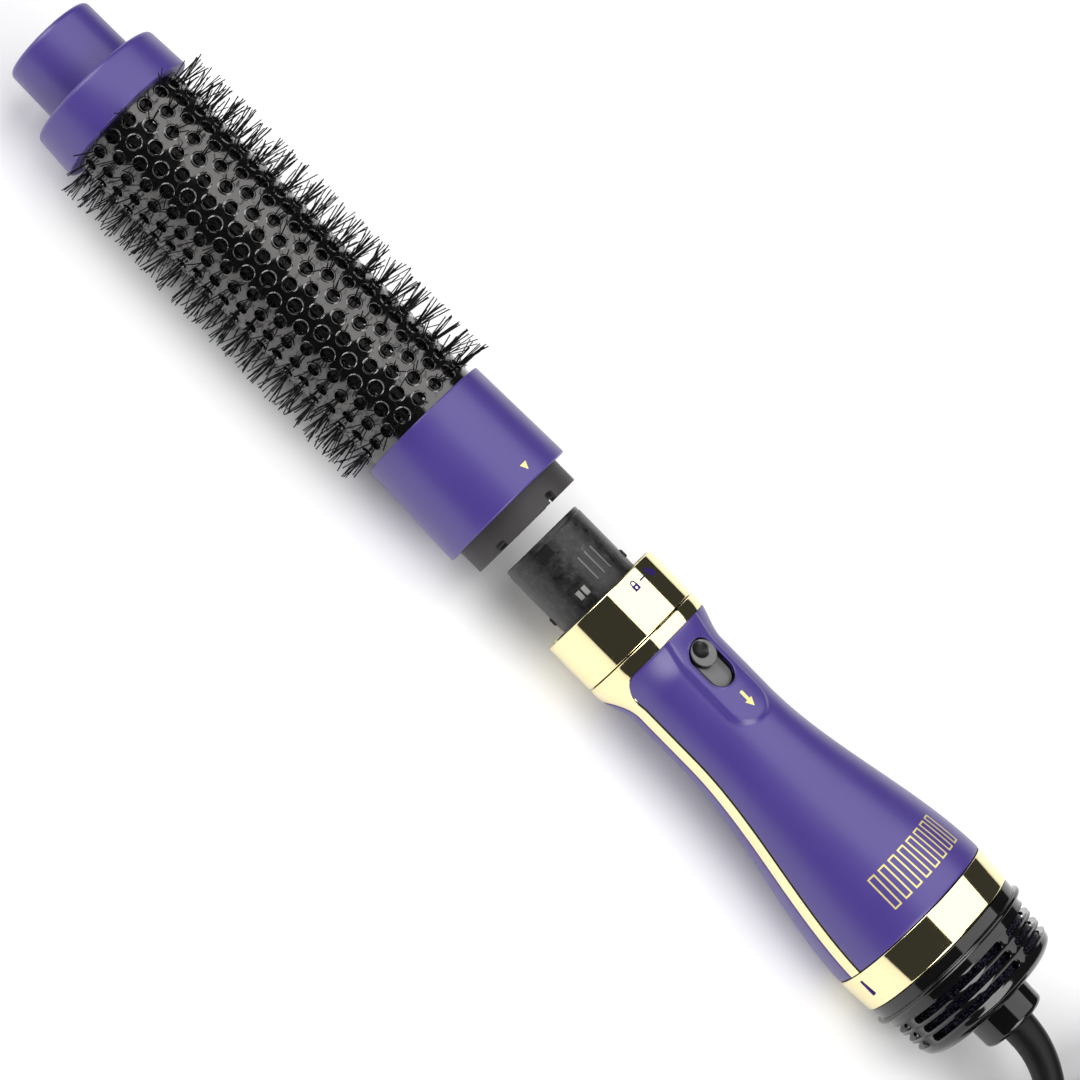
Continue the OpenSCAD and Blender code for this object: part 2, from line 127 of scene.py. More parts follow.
# ---- The cord, in millimetres: distance from the tip, side, height ----
CORD_D = 7.0
COIL_S = 475.0
COIL_Y = 2.0
COIL_R = 39.2
ROUTE = [
    (391, 0, 28.4), (395, 0, 28.4), (399.5, 0, 28.4), (404.2, -0.4, 28.3), (408.8, -1.5, 28),
    (413.1, -3.3, 27.5), (417.1, -5.7, 26.8), (420.3, -8.4, 25.9), (424, -12.3, 24.5),
    (427.9, -16.5, 22.9), (431.5, -20.4, 21.2), (435, -24.2, 19.7), (438.6, -27.9, 18.5),
    (442.2, -31.3, 17.6), (446.2, -34.5, 17.1), (450.6, -37.2, 16.9), (454.1, -39.1, 16.9),
]
RELIEF_POINTS = 7
PLUG_S = COIL_S - 7.8
PLUG_Y = COIL_Y - 28.6
PLUG_Z = 28.1
PLUG_HEADING = math.radians(-10)

# ---- The picture ----
CAMERA_ELEVATION = math.radians(56)
CAMERA_ROLL = math.radians(45.5)
CAMERA_DISTANCE = 1.19
CAMERA_LENS = 137.7
CAMERA_AIM_S = 202.5
CAMERA_AIM_DOWN = 0.25
# Angle from the top to the side that faces the camera
CAMERA_SIDE = math.pi / 2 - CAMERA_ELEVATION


# ---- Places ----

def at(s, angle, r):
    """A point r from the axis at that station, angle in radians from the top towards the camera's side."""
    return Vector(((s - ORIGIN_S) * MM, -r * math.sin(angle) * MM, (AXIS_Z + r * math.cos(angle)) * MM))


def row_point(s, y, z):
    return Vector(((s - ORIGIN_S) * MM, y * MM, z * MM))


def above(s, y, height):
    """A point that high over the axis and y to the camera's side of it."""
    return row_point(s, -y, AXIS_Z + height)


def smooth(t):
    t = min(1.0, max(0.0, t))
    return t * t * (3 - 2 * t)


def handle_r(s):
    neck = (RING_R - WAIST_R) * (1 - smooth((s - NECK_START) / NECK_L))
    bell = (BASE_R - 0.2 - WAIST_R) * smooth((s - BELL_START) / BELL_L)
    return WAIST_R + neck + bell


def spread(start, end, count):
    return [start + (end - start) * i / count for i in range(count + 1)]


def circle(sides, r=1.0, start=0.0):
    """Points (x, y) round a circle."""
    turns = [start + math.tau * k / sides for k in range(sides)]
    return [(r * math.cos(turn), r * math.sin(turn)) for turn in turns]


# ---- Meshes ----

def add_to_scene(name, data):
    obj = bpy.data.objects.new(name, data)
    bpy.context.scene.collection.objects.link(obj)
    return obj


def new_object(name, points, faces, material, smooth_angle=32):
    mesh = bpy.data.meshes.new(name)
    mesh.from_pydata([tuple(p) for p in points], [], faces)
    mesh.validate()
    mesh.materials.append(MATERIALS[material])
    obj = add_to_scene(name, mesh)
    finish_mesh(obj, smooth_angle)
    return obj


def finish_mesh(obj, smooth_angle=32, merge=0.0):
    """Joins doubled points, turns every face outwards and shades the mesh smooth up to that angle."""
    bm = bmesh.new()
    bm.from_mesh(obj.data)
    if merge:
        bmesh.ops.remove_doubles(bm, verts=bm.verts, dist=merge)
    bmesh.ops.recalc_face_normals(bm, faces=bm.faces)
    bm.to_mesh(obj.data)
    bm.free()
    obj.data.shade_smooth()
    obj.data.set_sharp_from_angle(angle=math.radians(smooth_angle))


def join_rings(a, b, sides):
    """Faces between the ring of points that starts at number a and the one that starts at b."""
    return [(a + k, a + (k + 1) % sides, b + (k + 1) % sides, b + k) for k in range(sides)]


def ring_walls(rings, sides, first=0, closed=False, caps=False):
    """Faces along rings of points made one after another, closed into a loop or with a cap at each end."""
    faces = []
    for i in range(rings if closed else rings - 1):
        faces += join_rings(first + i * sides, first + (i + 1) % rings * sides, sides)
    if caps:
        last = first + (rings - 1) * sides
        faces += [tuple(range(first, first + sides)), tuple(range(last, last + sides))]
    return faces


def grid_faces(rows, cols, first=0):
    starts = [first + i * cols + j for i in range(rows - 1) for j in range(cols - 1)]
    return [(a, a + 1, a + cols + 1, a + cols) for a in starts]


def sheet_faces(rows, cols, first=0, ends=(0, -1)):
    """Faces of a sheet from two grids of points, joined along both sides and at those end rows."""
    far = rows * cols
    faces = grid_faces(rows, cols, first) + grid_faces(rows, cols, first + far)
    for j in (0, cols - 1):
        for a in range(first + j, first + j + far - cols, cols):
            faces.append((a, a + cols, far + a + cols, far + a))
    for i in ends:
        start = first + i % rows * cols
        for a in range(start, start + cols - 1):
            faces.append((a, a + 1, far + a + 1, far + a))
    return faces


def rounded(points, steps):
    """A closed outline of (station, radius, corner radius), with its corners turned into arcs."""
    out = []
    count = len(points)
    for i, (x, y, corner) in enumerate(points):
        here = Vector((x, y))
        before = Vector(points[i - 1][:2]) - here
        after = Vector(points[(i + 1) % count][:2]) - here
        reach = min(corner, before.length * 0.48, after.length * 0.48)
        if reach < 0.02:
            out.append((x, y))
            continue
        a = here + before.normalized() * reach
        b = here + after.normalized() * reach
        for k in range(steps + 1):
            t = k / steps
            p = a * (1 - t) ** 2 + here * 2 * t * (1 - t) + b * t * t
            out.append((p.x, p.y))
    return out


def lathe(name, corners, material, steps, sides=144):
    """A closed solid of revolution about the tool's axis."""
    outline = rounded(corners, steps)
    points = [at(s, math.tau * k / sides, r) for s, r in outline for k in range(sides)]
    obj = new_object(name, points, ring_walls(len(outline), sides, closed=True), material)
    finish_mesh(obj, merge=1e-6)
    return obj


def sheet_solid(name, grid, inner, material, smooth_angle=40):
    """A closed shell from two grids of points, the outside and the inside, of the same size."""
    points = [p for row in grid + inner for p in row]
    return new_object(name, points, sheet_faces(len(grid), len(grid[0])), material, smooth_angle)


def tube_along(name, path, radii, material, sides=24):
    """A closed round tube along a list of points, with a radius at each."""
    points = []
    side = None
    for i, p in enumerate(path):
        ahead = path[min(i + 1, len(path) - 1)]
        behind = path[max(i - 1, 0)]
        d = (ahead - behind).normalized()
        side = d.orthogonal().normalized() if side is None else (side - d * side.dot(d)).normalized()
        up = d.cross(side)
        points += [p + side * x + up * y for x, y in circle(sides, radii[i])]
    return new_object(name, points, ring_walls(len(path), sides, caps=True), material)


def standing(x, y, z, centre):
    """The matrix that puts the three axes and the origin there."""
    return Matrix([[x[i], y[i], z[i], centre[i]] for i in range(3)] + [[0, 0, 0, 1]])


def block(name, size, corner, axes, centre, material):
    """A box with bevelled edges, its sides along the three axes."""
    bm = bmesh.new()
    bmesh.ops.create_cube(bm, size=1)
    for v in bm.verts:
        v.co = Vector([v.co[i] * size[i] for i in range(3)]) * MM
    bmesh.ops.bevel(bm, geom=bm.edges[:], offset=corner * MM, segments=3, affect="EDGES", clamp_overlap=True)
    mesh = bpy.data.meshes.new(name)
    bm.to_mesh(mesh)
    bm.free()
    mesh.transform(standing(*axes, centre))
    mesh.materials.append(MATERIALS[material])
    obj = add_to_scene(name, mesh)
    finish_mesh(obj, 50)
    return obj


def cut_with(obj, tool):
    """Takes the tool's shape out of the piece, and the tool out of the scene."""
    modifier = obj.modifiers.new("cut", "BOOLEAN")
    modifier.object = tool
    modifier.operation = "DIFFERENCE"
    modifier.solver = "EXACT"
    graph = bpy.context.evaluated_depsgraph_get()
    mesh = bpy.data.meshes.new_from_object(obj.evaluated_get(graph))
    obj.modifiers.clear()
    obj.data = mesh
    bpy.data.objects.remove(tool)


def spline(points, steps):
    """A smooth curve through the points, Catmull-Rom, with that many steps between each two."""
    out = []
    last = len(points) - 1
    for i in range(last):
        p0 = points[max(i - 1, 0)]
        p1, p2 = points[i], points[i + 1]
        p3 = points[min(i + 2, last)]
        for k in range(steps):
            t = k / steps
            out.append(0.5 * (2 * p1 + (p2 - p0) * t + (2 * p0 - 5 * p1 + 4 * p2 - p3) * t * t
                              + (3 * p1 - p0 - 3 * p2 + p3) * t ** 3))
    out.append(points[last])
    return out


def place(obj, body, *nodes):
    """Puts a piece on its body and hides the CAD nodes that it replaces."""
    # The frame's materials hold the plain names already, so Blender ends most of these with a number
    material = obj.data.materials[0].name.split(".")[0]
    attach(obj, body)
    SHARED_SLOTS.get(material, material)
    if nodes:
        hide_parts(*nodes)


# ---- Materials ----

MATERIALS = {}
SURFACE_INPUTS = dict(colour="Base Color", roughness="Roughness", normal="Normal", metallic="Metallic",
                      specular="Specular IOR Level", sheen="Sheen Weight", sheen_roughness="Sheen Roughness")


class Nodes:
    """Short names for building one node material. An input is a value or another node's output."""

    def __init__(self, name):
        MATERIALS[name] = bpy.data.materials.new(name)
        MATERIALS[name].use_nodes = True
        self.tree = MATERIALS[name].node_tree
        self.tree.nodes.clear()
        self.surface = self.tree.nodes.new("ShaderNodeBsdfPrincipled")
        output = self.tree.nodes.new("ShaderNodeOutputMaterial")
        self.tree.links.new(self.surface.outputs[0], output.inputs[0])
        self.coordinates = self.tree.nodes.new("ShaderNodeTexCoord").outputs["Object"]

    def fill(self, node, inputs):
        for name, value in inputs.items():
            if isinstance(value, bpy.types.NodeSocket):
                self.tree.links.new(value, node.inputs[name])
            else:
                node.inputs[name].default_value = value

    def add(self, kind, inputs):
        node = self.tree.nodes.new(kind)
        self.fill(node, inputs)
        return node

    def set(self, **inputs):
        self.fill(self.surface, {SURFACE_INPUTS[name]: value for name, value in inputs.items()})

    def noise(self, scale, detail, roughness=0.55, stretch=(1, 1, 1)):
        mapping = self.add("ShaderNodeMapping", {"Scale": stretch, "Vector": self.coordinates})
        return self.add("ShaderNodeTexNoise", {"Scale": scale, "Detail": detail, "Roughness": roughness,
                                               "Vector": mapping.outputs[0]}).outputs["Fac"]

    def cells(self, scale):
        node = self.add("ShaderNodeTexVoronoi", {"Scale": scale, "Vector": self.coordinates})
        return node.outputs["Distance"]

    def ramp(self, value, *stops):
        node = self.add("ShaderNodeValToRGB", {"Fac": value})
        elements = node.color_ramp.elements
        while len(elements) < len(stops):
            elements.new(0.5)
        for element, (position, colour) in zip(elements, stops):
            element.position = position
            element.color = (*colour, 1)
        return node.outputs["Color"]

    def spread(self, value, low, high):
        return self.add("ShaderNodeMapRange", {"Value": value, "From Min": 0.3, "From Max": 0.7,
                                               "To Min": low, "To Max": high}).outputs["Result"]

    def bump(self, height, distance, strength):
        return self.add("ShaderNodeBump", {"Distance": distance, "Strength": strength,
                                           "Height": height}).outputs["Normal"]


def grey(level):
    return (level, level, level)


def plain(name, colour, roughness, metallic=0.0, grain=900, depth=0.00002, vary=0.12, specular=0.5):
    """A base for most materials: fine grain, slow colour change and uneven roughness."""
    n = Nodes(name)
    fine = n.noise(grain, 3)
    darker, lighter = [tuple(c * k for c in colour) for k in (1 - vary, 1 + vary)]
    n.set(metallic=metallic, specular=specular, colour=n.ramp(n.noise(38, 3), (0.3, darker), (0.7, lighter)),
          roughness=n.spread(fine, roughness * 0.85, roughness * 1.15), normal=n.bump(fine, depth, 0.6))


def purple_soft():
    n = Nodes("purple_soft")
    n.set(colour=n.ramp(n.noise(24, 4), (0.25, (0.051, 0.030, 0.200)), (0.75, (0.057, 0.034, 0.216))),
          roughness=n.spread(n.noise(60, 5), 0.34, 0.40), normal=n.bump(n.noise(2600, 2), 0.000012, 0.5),
          sheen=0.03, sheen_roughness=0.4, specular=0.7)


def gold_plate():
    n = Nodes("gold_plate")
    scratches = n.noise(420, 5, 0.6, (1, 6, 6))
    n.set(metallic=1.0, colour=n.ramp(n.noise(50, 4), (0.3, (0.92, 0.81, 0.47)), (0.7, (0.95, 0.84, 0.50))),
          roughness=n.spread(scratches, 0.03, 0.075), normal=n.bump(n.noise(120, 3), 0.000001, 0.25))


def barrel_coating():
    n = Nodes("barrel_coating")
    n.set(colour=n.ramp(n.noise(70, 5), (0.3, (0.096, 0.093, 0.092)), (0.7, (0.118, 0.115, 0.113))),
          roughness=n.spread(n.noise(700, 4), 0.11, 0.19), normal=n.bump(n.noise(1400, 3), 0.00001, 0.5),
          metallic=1.0)


def nozzle_plastic():
    n = Nodes("nozzle_plastic")
    mottle = n.noise(430, 8, 0.75)
    n.set(specular=0.45, colour=n.ramp(mottle, (0.38, grey(0.004)), (0.58, grey(0.022)), (0.72, grey(0.085))),
          roughness=n.spread(mottle, 0.24, 0.42), normal=n.bump(mottle, 0.00016, 0.9))


def filter_cloth():
    n = Nodes("mesh_dark")
    wires = n.cells(1500)
    n.set(metallic=0.6, colour=n.ramp(wires, (0.15, (0.26, 0.25, 0.36)), (0.5, (0.010, 0.009, 0.024))),
          roughness=n.spread(wires, 0.35, 0.6), normal=n.bump(wires, 0.0002, 0.8))


def floor_material():
    n = Nodes("floor")
    n.set(colour=n.ramp(n.noise(6, 4), (0.3, grey(0.90)), (0.7, grey(0.92))), roughness=0.6, specular=0.2)


purple_soft()
gold_plate()
barrel_coating()
nozzle_plastic()
filter_cloth()
floor_material()
plain("gold_print", (0.80, 0.68, 0.26), 0.35, metallic=0.4, vary=0.06)
plain("navy_print", (0.022, 0.006, 0.15), 0.45, vary=0.1, specular=0.1)
plain("bristle_nylon", grey(0.004), 0.42, grain=3000, specular=0.15)
plain("skirt_plastic", (0.046, 0.042, 0.043), 0.5, grain=1800, specular=0.25)
plain("black_plastic", grey(0.008), 0.42, specular=0.25)
plain("gloss_black", grey(0.004), 0.08, grain=500, depth=0.000004, specular=0.6)
plain("slider_grey", grey(0.115), 0.2, grain=1500, depth=0.000005)
plain("steel", grey(0.58), 0.28, metallic=1.0)
# A lighter, duller copy of the steel for the contact pads: painted highlight
plain("contact_tin", (0.42, 0.42, 0.41), 0.5, metallic=0.5)
# Lighter grey copy of the nozzle's black for its ribs: painted highlights on the relief
plain("rib_satin", grey(0.11), 0.3, grain=1500)
plain("nichrome", (0.42, 0.40, 0.37), 0.35, metallic=1.0)
plain("mica", (0.5, 0.38, 0.22), 0.5, vary=0.2)
plain("white_plastic", (0.66, 0.66, 0.64), 0.4)
plain("circuit_board", (0.02, 0.11, 0.045), 0.4)
plain("wire_red", (0.38, 0.03, 0.02), 0.5)
plain("cord_rubber", grey(0.005), 0.40, grain=1200, depth=0.00003, specular=0.25)
plain("tie_fabric", grey(0.025), 0.85, grain=2200, depth=0.0003)
plain("plug_plastic", grey(0.013), 0.4, grain=1500, depth=0.00003)
plain("plug_brass", (0.75, 0.66, 0.42), 0.25, metallic=1.0)

# Materials whose pieces belong to the slot of another name
SHARED_SLOTS = {"contact_tin": "steel", "rib_satin": "nozzle_plastic"}


# ---- Camera, floor and light ----

def make_camera():
    data = bpy.data.cameras.new("camera")
    data.lens = CAMERA_LENS
    data.sensor_width = 36
    data.clip_end = 20
    obj = add_to_scene("camera", data)
    back = Vector((0, -math.cos(CAMERA_ELEVATION), math.sin(CAMERA_ELEVATION)))
    up = Vector((0, math.sin(CAMERA_ELEVATION), math.cos(CAMERA_ELEVATION)))
    along = Vector((1, 0, 0))
    right_turned = along * math.cos(CAMERA_ROLL) + up * math.sin(CAMERA_ROLL)
    up_turned = up * math.cos(CAMERA_ROLL) - along * math.sin(CAMERA_ROLL)
    place_at = at(CAMERA_AIM_S, 0, 0) - up * CAMERA_AIM_DOWN * MM + back * CAMERA_DISTANCE
    obj.matrix_world = standing(right_turned, up_turned, back, place_at)
    bpy.context.scene.camera = obj


def add_area(name, centre, towards, size, power):
    data = bpy.data.lights.new(name, "AREA")
    data.shape = "RECTANGLE"
    data.size, data.size_y = size
    data.energy = power
    obj = add_to_scene(name, data)
    obj.location = centre
    direction = Vector(towards) - Vector(centre)
    obj.rotation_euler = direction.to_track_quat("-Z", "Y").to_euler()


def make_stage():
    corners = [(-3, -3, 0), (3, -3, 0), (3, 3, 0), (-3, 3, 0)]
    new_object("floor", corners, [(0, 1, 2, 3)], "floor")
    scene = bpy.context.scene
    scene.view_settings.view_transform = "Standard"
    world = bpy.data.worlds.new("world")
    world.use_nodes = True
    world.node_tree.nodes["Background"].inputs[0].default_value = (0.95, 0.96, 1.0, 1)
    world.node_tree.nodes["Background"].inputs[1].default_value = 0.04
    scene.world = world
    # One broad softbox overhead, leaning back a little, and one high beyond each end of the tool
    add_area("softbox", (0, 0.27, 1.07), (0, 0, 0.03), (1.3, 1.5), 11)
    for side in (-1, 1):
        add_area(f"end_softbox_{side}", (side * 1.75, -0.7, 1.25), (0, 0, 0), (1.5, 1.8), 42)


# ---- The cord ----

def coil_point(angle, r, z):
    return row_point(COIL_S + r * math.cos(angle), COIL_Y + r * math.sin(angle), z)


def coil_turns():
    """The turns of the coil, three beside each other and three high, then the rise to the plug on top."""
    outer, inner = COIL_R + CORD_D, COIL_R - CORD_D
    low, middle, high = 3.5, 10.2, 16.9
    cells = [(outer, high), (COIL_R, high), (COIL_R, middle), (outer, middle), (outer, low), (COIL_R, low),
             (inner, low), (inner, middle), (inner, high)]
    steps = 24
    start = math.radians(243)
    leave = math.radians(170)
    points = []
    for (r, z), (next_r, next_z) in zip(cells, cells[1:]):
        for k in range(steps):
            # The change to the next place happens over the last third of a turn
            t = smooth((k / steps - 0.66) / 0.34)
            angle = start + math.tau * k / steps
            points.append(coil_point(angle, r + (next_r - r) * t, z + (next_z - z) * t))
    path = [coil_point(angle, inner, high) for angle in spread(start, leave + math.tau, 20)]
    # A quarter turn of smaller radius leads in to the plug
    bend = 29.5
    centre_s = COIL_S + (inner - bend) * math.cos(leave)
    centre_y = COIL_Y + (inner - bend) * math.sin(leave)
    for angle in spread(leave, leave + math.pi / 2, 12)[1:]:
        path.append(row_point(centre_s + bend * math.cos(angle), centre_y + bend * math.sin(angle), high))
    # It rises to the plug over this length
    climb = 86
    run = [0.0]
    for p, q in zip(path, path[1:]):
        run.append(run[-1] + (q - p).length / MM)
    for p, travelled in zip(path, run):
        p.z += (PLUG_Z - high) * smooth(1 - (run[-1] - travelled) / climb) * MM
    return points + path


def make_cord():
    curve = bpy.data.curves.new("mains_lead", "CURVE")
    curve.dimensions = "3D"
    curve.bevel_depth = CORD_D / 2 * MM
    curve.bevel_resolution = 5
    line = curve.splines.new("POLY")
    route = [row_point(*p) for p in ROUTE]
    into_plug = Vector((math.cos(PLUG_HEADING), math.sin(PLUG_HEADING), 0)) * 3 * MM
    end = row_point(PLUG_S, PLUG_Y, PLUG_Z)
    fine = spline(route + coil_turns()[1:-1] + [end, end + into_plug], 3)
    line.points.add(len(fine) - 1)
    for target, p in zip(line.points, fine):
        target.co = (*p, 1)
    curve.use_fill_caps = True
    curve.materials.append(MATERIALS["cord_rubber"])
    cord = add_to_scene("mains_lead", curve)
    place(cord, "handle", "mains_cord", "cord_coil")
    return cord


def plug_point(along, across, up):
    """A point in the plug's own frame: along its blades, across them and up from its cord end."""
    c, n = math.cos(PLUG_HEADING), math.sin(PLUG_HEADING)
    return row_point(PLUG_S + along * c - across * n, PLUG_Y + along * n + across * c, PLUG_Z + up)


def plug_rings():
    """Cross-sections of the plug: distance along it, half width, half height, and how square it is."""
    rings = []
    for along in range(15):
        r = 4.2 + 0.1 * along - (0.35 if along % 3 == 1 else 0)
        rings.append((along, r, r, 2))
    for k in range(1, 7):
        t = smooth(k / 6)
        rings.append((14 + k, 5.6 + 5.2 * t, 5.6 + 1.3 * t, 2 + 2 * t))
    for k in range(25):
        groove = 0.45 * max(0.0, math.sin(math.tau * k / 6)) ** 2
        rings.append((20.3 + 0.5 * k, 10.95 - groove, 6.95, 4))
    for k in range(1, 7):
        t = k / 6
        down = 1.6 * (1 - math.sqrt(1 - t * t))
        rings.append((34.4 + 1.6 * t, 10.95 - down, 6.95 - down, 4))
    return rings


def make_plug():
    """Moulded two-blade plug: a ribbed relief that flares into a flat body with grip grooves."""
    sides = 48
    rings = plug_rings()
    points = []
    for along, half_w, half_h, power in rings:
        for x, y in circle(sides):
            points.append(plug_point(along, half_w * math.copysign(abs(x) ** (2 / power), x),
                                     half_h * math.copysign(abs(y) ** (2 / power), y)))
    faces = ring_walls(len(rings), sides, caps=True)
    body = new_object("plug_moulding", points, faces, "plug_plastic", 50)
    place(body, "handle", "plug_body")
    origin = plug_point(0, 0, 0)
    axes = [(plug_point(*step) - origin) / MM for step in ((1, 0, 0), (0, 1, 0), (0, 0, 1))]
    brass = "plug_brass"
    blades = []
    for i, across in enumerate((-6.35, 6.35)):
        blade = block(f"plug_blade_{i}", (16.2, 1.5, 6.4), 0.35, axes, plug_point(43.9, across, 0), brass)
        hole = [plug_point(48.5 + x, across + side, z) for side in (-2, 2) for x, z in circle(24, 1.6)]
        cut_with(blade, new_object("blade_hole", hole, ring_walls(2, 24, caps=True), brass))
        finish_mesh(blade, 40)
        place(blade, "handle")
        blades.append(blade)
    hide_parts("plug_pins")
    return [body] + blades


def strap_loop(half_w, half_h, corner):
    """A rounded rectangle round the coil's section: distance out, height, and which way the outside faces."""
    arcs = []
    for i, (cx, cz) in enumerate(((1, 1), (-1, 1), (-1, -1), (1, -1))):
        turns = spread(math.radians(90 * i), math.radians(90 * i + 90), 8)
        arcs.append([((half_w - corner) * cx + corner * math.cos(turn),
                      (half_h - corner) * cz + corner * math.sin(turn), turn) for turn in turns])
    loop = []
    for arc, following in zip(arcs, arcs[1:] + arcs[:1]):
        x, z, turn = arc[-1]
        next_x, next_z, _ = following[0]
        loop += arc + [(x + (next_x - x) * k / 6, z + (next_z - z) * k / 6, turn) for k in range(1, 6)]
    return loop


def make_tie():
    """Fabric strap round the coil's three by three turns, with its end lapped over."""
    half_h = 10.55
    loop = strap_loop(11.35, half_h, 3.6)
    # Section of the strap: place across it, and how far out
    across = ((-4, 0), (-3.8, 0.4), (-3.2, 0.5), (-1.6, 0.44), (0, 0.5), (1.6, 0.44), (3.2, 0.5), (3.8, 0.4),
              (4, 0), (3.7, -0.35), (-3.7, -0.35))
    heading = math.radians(50)
    out = Vector((math.cos(heading), math.sin(heading), 0))
    side = Vector((-math.sin(heading), math.cos(heading), 0))
    up = Vector((0, 0, 1))
    centre = row_point(COIL_S, COIL_Y, 10.75) + out * COIL_R * MM
    points = []
    for x, z, turn in loop:
        for w, rise in across:
            points.append(centre + (out * (x + rise * math.cos(turn)) + side * w
                                    + up * (z + rise * math.sin(turn))) * MM)
    fabric = "tie_fabric"
    tie = new_object("cord_strap", points, ring_walls(len(loop), len(across), closed=True), fabric, 50)
    place(tie, "handle", "cord_tie")
    lap = block("strap_lap", (9, 7.6, 0.9), 0.35, [out, side, up], centre + up * (half_h + 0.75) * MM, fabric)
    place(lap, "handle")
    return [tie, lap]


# ---- Head ----

def pierced_cell(centre, half, rings, to_world, points, faces):
    """A rectangle of a sheet with a hole in it, as rings of points from the edge in and out again behind."""
    side = 8
    quarter = [(-1 + 2 * i / side, -1) for i in range(side)]
    edge = (quarter + [(-v, u) for u, v in quarter] + [(-u, -v) for u, v in quarter]
            + [(v, -u) for u, v in quarter])
    first = len(points)
    for reach, height in rings:
        for k, (u, v) in enumerate(edge):
            turn = math.tau * k / len(edge) - math.pi * 0.75
            if reach is None:
                du, dv = u * half[0], v * half[1]
            else:
                du, dv = reach * math.cos(turn), reach * math.sin(turn)
            points.append(to_world(centre[0] + du, centre[1] + dv, height))
    faces += ring_walls(len(rings), len(edge), first)


def plain_cell(low, high, splits, to_world, points, faces):
    """A rectangle of the tube with no hole, in front and behind."""
    for height in (0, -BARREL_WALL):
        faces += grid_faces(splits[0] + 1, splits[1] + 1, len(points))
        for u in spread(low[0], high[0], splits[0]):
            points += [to_world(u, v, height) for v in spread(low[1], high[1], splits[1])]


def row_angle(row):
    return ROW_START + row * math.tau / BARREL_ROWS


def row_holes(row):
    """Stations of a row's holes; every other row is half a pitch further on."""
    start = HOLE_FIRST + ((row + 1) % 2) * HOLE_PITCH / 2
    return [start + HOLE_PITCH * i for i in range(11)]


def make_barrel():
    """The coated tube: rings of holes with raised rims, each ring half a cell on from the one before."""
    arc = math.tau * BARREL_R / BARREL_ROWS
    rise = HOLE_PITCH / 4
    # Distance from the hole's centre and height over the tube, None being the edge of the cell
    rings = [(None, 0.0), (2.6, 0.0), (2.45, 0.02), (2.3, 0.15), (2.1, 0.2), (1.94, 0.14), (1.86, 0.0),
             (1.82, -BARREL_WALL), (2.5, -BARREL_WALL), (None, -BARREL_WALL)]
    points, faces = [], []

    def to_world(u, v, height):
        return at(v, ROW_START + u / BARREL_R, BARREL_R + height)

    for row in range(BARREL_ROWS):
        for s in row_holes(row):
            pierced_cell((row * arc, s), (arc, rise), rings, to_world, points, faces)
    # The ring of holes nearest the tip stands in the odd rows, the last one in the even rows
    for start, end, edge, shift in ((TUBE_START, HOLE_FIRST - rise, TUBE_START, 1),
                                    (row_holes(0)[-1] + rise, TUBE_END, TUBE_END, 0)):
        for row in range(shift, BARREL_ROWS, 2):
            left = (row - 1) * arc
            plain_cell((left, start), (left + 2 * arc, end), (8, 3), to_world, points, faces)
            for i in range(8):
                u = left + arc * i / 4
                a = len(points)
                points += [to_world(u, edge, 0), to_world(u + arc / 4, edge, 0),
                           to_world(u + arc / 4, edge, -BARREL_WALL), to_world(u, edge, -BARREL_WALL)]
                faces.append((a, a + 1, a + 2, a + 3))
    obj = new_object("barrel", points, faces, "barrel_coating")
    finish_mesh(obj, 38, merge=2e-6)
    place(obj, "head", "barrel_tube")


def make_bristles():
    """A tuft of stiff filaments in every hole, splayed mostly along the tool."""
    draw = random.Random(11)
    root_r = 17.2
    points, faces = [], []
    for row in range(BARREL_ROWS):
        middle = row_angle(row)
        for s in row_holes(row):
            lean_s = draw.uniform(-1.3, 1.3)
            lean_a = draw.uniform(-0.9, 0.9)
            for strand in range(4):
                root_s = s + draw.uniform(-0.75, 0.75)
                root_a = middle + draw.uniform(-0.75, 0.75) / BARREL_R
                tip_r = draw.uniform(26.8, 28.35)
                tip_s = root_s + lean_s + (strand - 1.5) * 1.2 + draw.gauss(0, 0.9)
                tip_a = root_a + (lean_a + draw.gauss(0, 1.0)) / BARREL_R
                bow_s = draw.gauss(0, 0.15)
                thick = draw.uniform(0.18, 0.24)
                turn = draw.uniform(0, math.tau)
                faces += ring_walls(4, 3, len(points), caps=True)
                for k in range(4):
                    t = k / 3
                    here_s = root_s + (tip_s - root_s) * t ** 1.15 + bow_s * math.sin(math.pi * t)
                    here_a = root_a + (tip_a - root_a) * t ** 1.15
                    r = root_r + (tip_r - root_r) * t
                    points += [at(here_s + x, here_a + y / r, r) for x, y in circle(3, thick, turn)]
    place(new_object("bristles", points, faces, "bristle_nylon", 60), "head", "bristle_strips")


def make_carriers():
    """The strips inside the barrel that hold the tufts."""
    section = [(16.5, -0.8), (17.0, -1.0), (17.7, -1.0), (18.0, -0.8)]
    section += [(r, -y) for r, y in reversed(section)]
    points, faces = [], []
    for row in range(BARREL_ROWS):
        faces += ring_walls(2, len(section), len(points), caps=True)
        for s in (33.6, 153.5):
            points += [at(s, row_angle(row) + y / r, r) for r, y in section]
    place(new_object("bristle_carriers", points, faces, "black_plastic"), "head")


